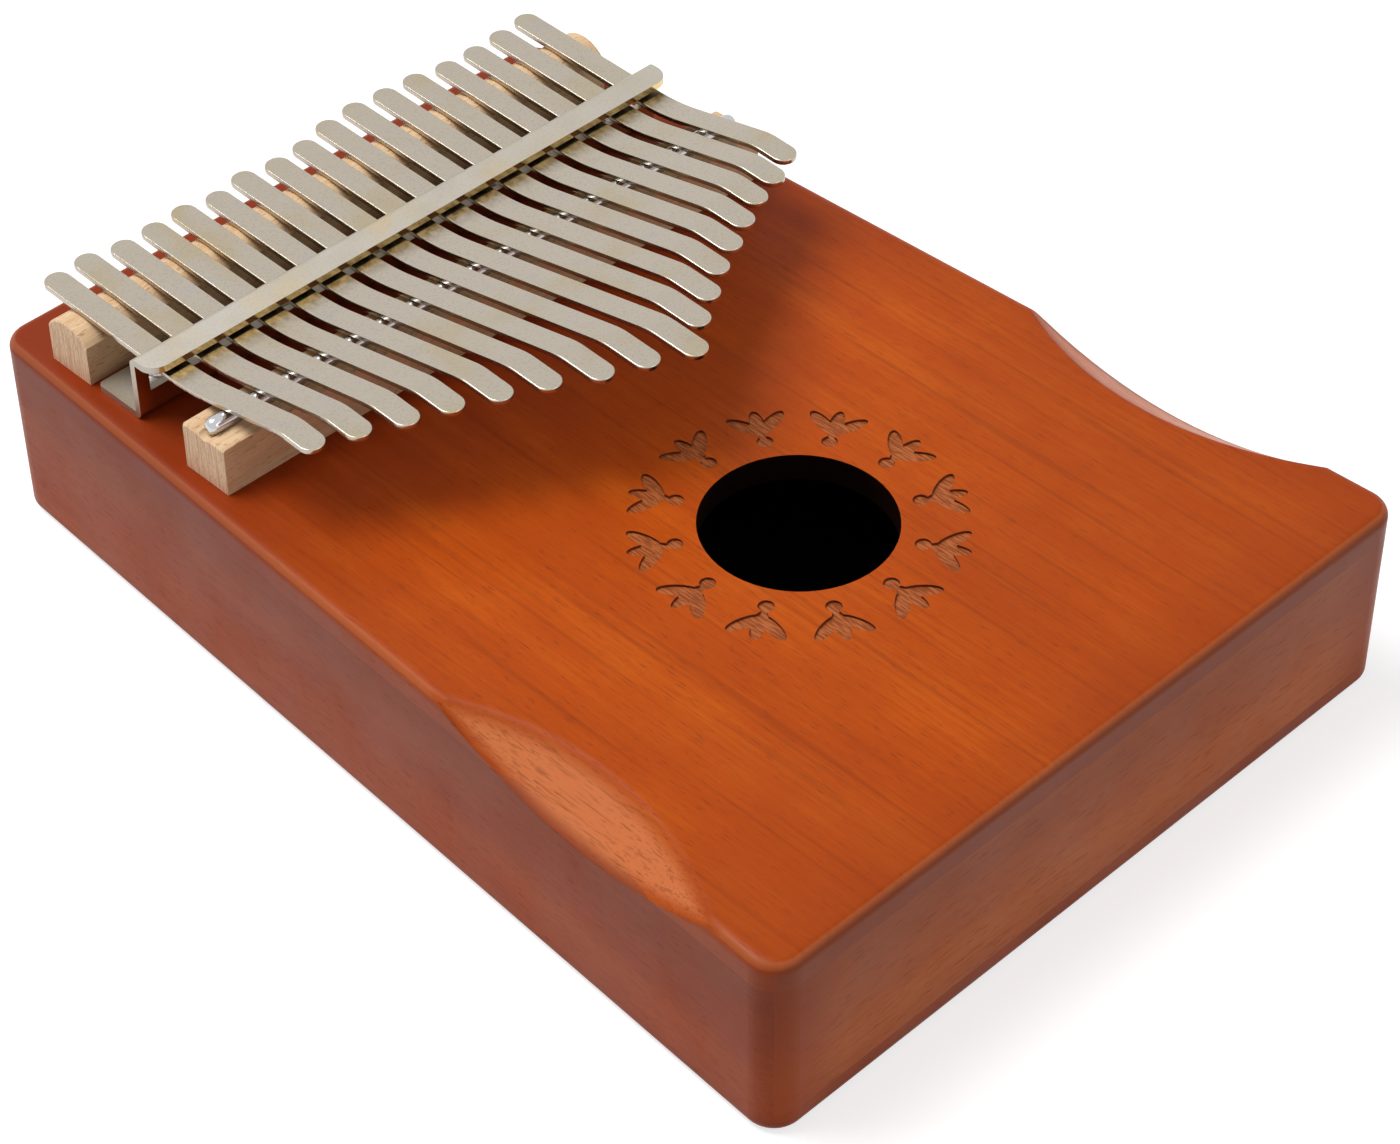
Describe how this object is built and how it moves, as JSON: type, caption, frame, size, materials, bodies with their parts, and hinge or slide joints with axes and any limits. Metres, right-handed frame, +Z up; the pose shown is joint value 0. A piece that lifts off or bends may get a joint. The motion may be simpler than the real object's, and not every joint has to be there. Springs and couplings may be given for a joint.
{
  "type": "thumb piano",
  "caption": "Hollow wooden box thumb piano with plucked spring steel tongues, folded clamp, rod bridge and carved sound hole ring.",
  "frame": {"origin": "middle of the box's underside", "axes": "+Y along the box towards the clamp end, +Z up out of the top board, +X to the player's right"},
  "size_m": [0.136, 0.185, 0.0566],
  "materials": {
    "lacquered_wood": "satin lacquer",
    "inner_wood": "bare",
    "beech": "bare",
    "spring_steel": "satin nickel",
    "nickelled_clamp": "satin nickel",
    "chromed_rod": "polished",
    "screw_steel": "zinc plated"
  },
  "bodies": {
    "box": {"top_board": "lacquered_wood", "bottom_board": "lacquered_wood", "side_left": "lacquered_wood", "side_right": "lacquered_wood", "end_hole": "lacquered_wood", "end_clamp": "lacquered_wood", "screw_block": "inner_wood", "rear_bridge": "beech", "front_bridge": "beech", "bridge_rod": "chromed_rod", "clamp": "nickelled_clamp", "clamp_screws": "screw_steel"},
    "tongue_01": {"tongue_01": "spring_steel"},
    "tongue_02": {"tongue_02": "spring_steel"},
    "tongue_03": {"tongue_03": "spring_steel"},
    "tongue_04": {"tongue_04": "spring_steel"},
    "tongue_05": {"tongue_05": "spring_steel"},
    "tongue_06": {"tongue_06": "spring_steel"},
    "tongue_07": {"tongue_07": "spring_steel"},
    "tongue_08": {"tongue_08": "spring_steel"},
    "tongue_09": {"tongue_09": "spring_steel"},
    "tongue_10": {"tongue_10": "spring_steel"},
    "tongue_11": {"tongue_11": "spring_steel"},
    "tongue_12": {"tongue_12": "spring_steel"},
    "tongue_13": {"tongue_13": "spring_steel"},
    "tongue_14": {"tongue_14": "spring_steel"},
    "tongue_15": {"tongue_15": "spring_steel"},
    "tongue_16": {"tongue_16": "spring_steel"},
    "tongue_17": {"tongue_17": "spring_steel"}
  },
  "joints": [
    {"name": "tongue_01_flex", "type": "hinge", "parent": "box", "child": "tongue_01", "pos_m": [0, 0.0405, 0.04475], "axis": [1, 0, 0], "range_deg": [0, 1.2], "stiffness_Nm_per_rad": 11},
    {"name": "tongue_02_flex", "type": "hinge", "parent": "box", "child": "tongue_02", "pos_m": [0, 0.0405, 0.04475], "axis": [1, 0, 0], "range_deg": [0, 1.2], "stiffness_Nm_per_rad": 9.5},
    {"name": "tongue_03_flex", "type": "hinge", "parent": "box", "child": "tongue_03", "pos_m": [0, 0.0405, 0.04475], "axis": [1, 0, 0], "range_deg": [0, 1.2], "stiffness_Nm_per_rad": 8.2},
    {"name": "tongue_04_flex", "type": "hinge", "parent": "box", "child": "tongue_04", "pos_m": [0, 0.0405, 0.04475], "axis": [1, 0, 0], "range_deg": [0, 1.2], "stiffness_Nm_per_rad": 7.4},
    {"name": "tongue_05_flex", "type": "hinge", "parent": "box", "child": "tongue_05", "pos_m": [0, 0.0405, 0.04475], "axis": [1, 0, 0], "range_deg": [0, 1.2], "stiffness_Nm_per_rad": 6.5},
    {"name": "tongue_06_flex", "type": "hinge", "parent": "box", "child": "tongue_06", "pos_m": [0, 0.0405, 0.04475], "axis": [1, 0, 0], "range_deg": [0, 1.2], "stiffness_Nm_per_rad": 5.8},
    {"name": "tongue_07_flex", "type": "hinge", "parent": "box", "child": "tongue_07", "pos_m": [0, 0.0405, 0.04475], "axis": [1, 0, 0], "range_deg": [0, 1.2], "stiffness_Nm_per_rad": 5.2},
    {"name": "tongue_08_flex", "type": "hinge", "parent": "box", "child": "tongue_08", "pos_m": [0, 0.0405, 0.04475], "axis": [1, 0, 0], "range_deg": [0, 1.2], "stiffness_Nm_per_rad": 4.8},
    {"name": "tongue_09_flex", "type": "hinge", "parent": "box", "child": "tongue_09", "pos_m": [0, 0.0405, 0.04475], "axis": [1, 0, 0], "range_deg": [0, 1.2], "stiffness_Nm_per_rad": 4.4},
    {"name": "tongue_10_flex", "type": "hinge", "parent": "box", "child": "tongue_10", "pos_m": [0, 0.0405, 0.04475], "axis": [1, 0, 0], "range_deg": [0, 1.2], "stiffness_Nm_per_rad": 5},
    {"name": "tongue_11_flex", "type": "hinge", "parent": "box", "child": "tongue_11", "pos_m": [0, 0.0405, 0.04475], "axis": [1, 0, 0], "range_deg": [0, 1.2], "stiffness_Nm_per_rad": 5.6},
    {"name": "tongue_12_flex", "type": "hinge", "parent": "box", "child": "tongue_12", "pos_m": [0, 0.0405, 0.04475], "axis": [1, 0, 0], "range_deg": [0, 1.2], "stiffness_Nm_per_rad": 6.2},
    {"name": "tongue_13_flex", "type": "hinge", "parent": "box", "child": "tongue_13", "pos_m": [0, 0.0405, 0.04475], "axis": [1, 0, 0], "range_deg": [0, 1.2], "stiffness_Nm_per_rad": 6.9},
    {"name": "tongue_14_flex", "type": "hinge", "parent": "box", "child": "tongue_14", "pos_m": [0, 0.0405, 0.04475], "axis": [1, 0, 0], "range_deg": [0, 1.2], "stiffness_Nm_per_rad": 7.8},
    {"name": "tongue_15_flex", "type": "hinge", "parent": "box", "child": "tongue_15", "pos_m": [0, 0.0405, 0.04475], "axis": [1, 0, 0], "range_deg": [0, 1.2], "stiffness_Nm_per_rad": 8.8},
    {"name": "tongue_16_flex", "type": "hinge", "parent": "box", "child": "tongue_16", "pos_m": [0, 0.0405, 0.04475], "axis": [1, 0, 0], "range_deg": [0, 1.2], "stiffness_Nm_per_rad": 9.7},
    {"name": "tongue_17_flex", "type": "hinge", "parent": "box", "child": "tongue_17", "pos_m": [0, 0.0405, 0.04475], "axis": [1, 0, 0], "range_deg": [0, 1.2], "stiffness_Nm_per_rad": 11.5}
  ]
}
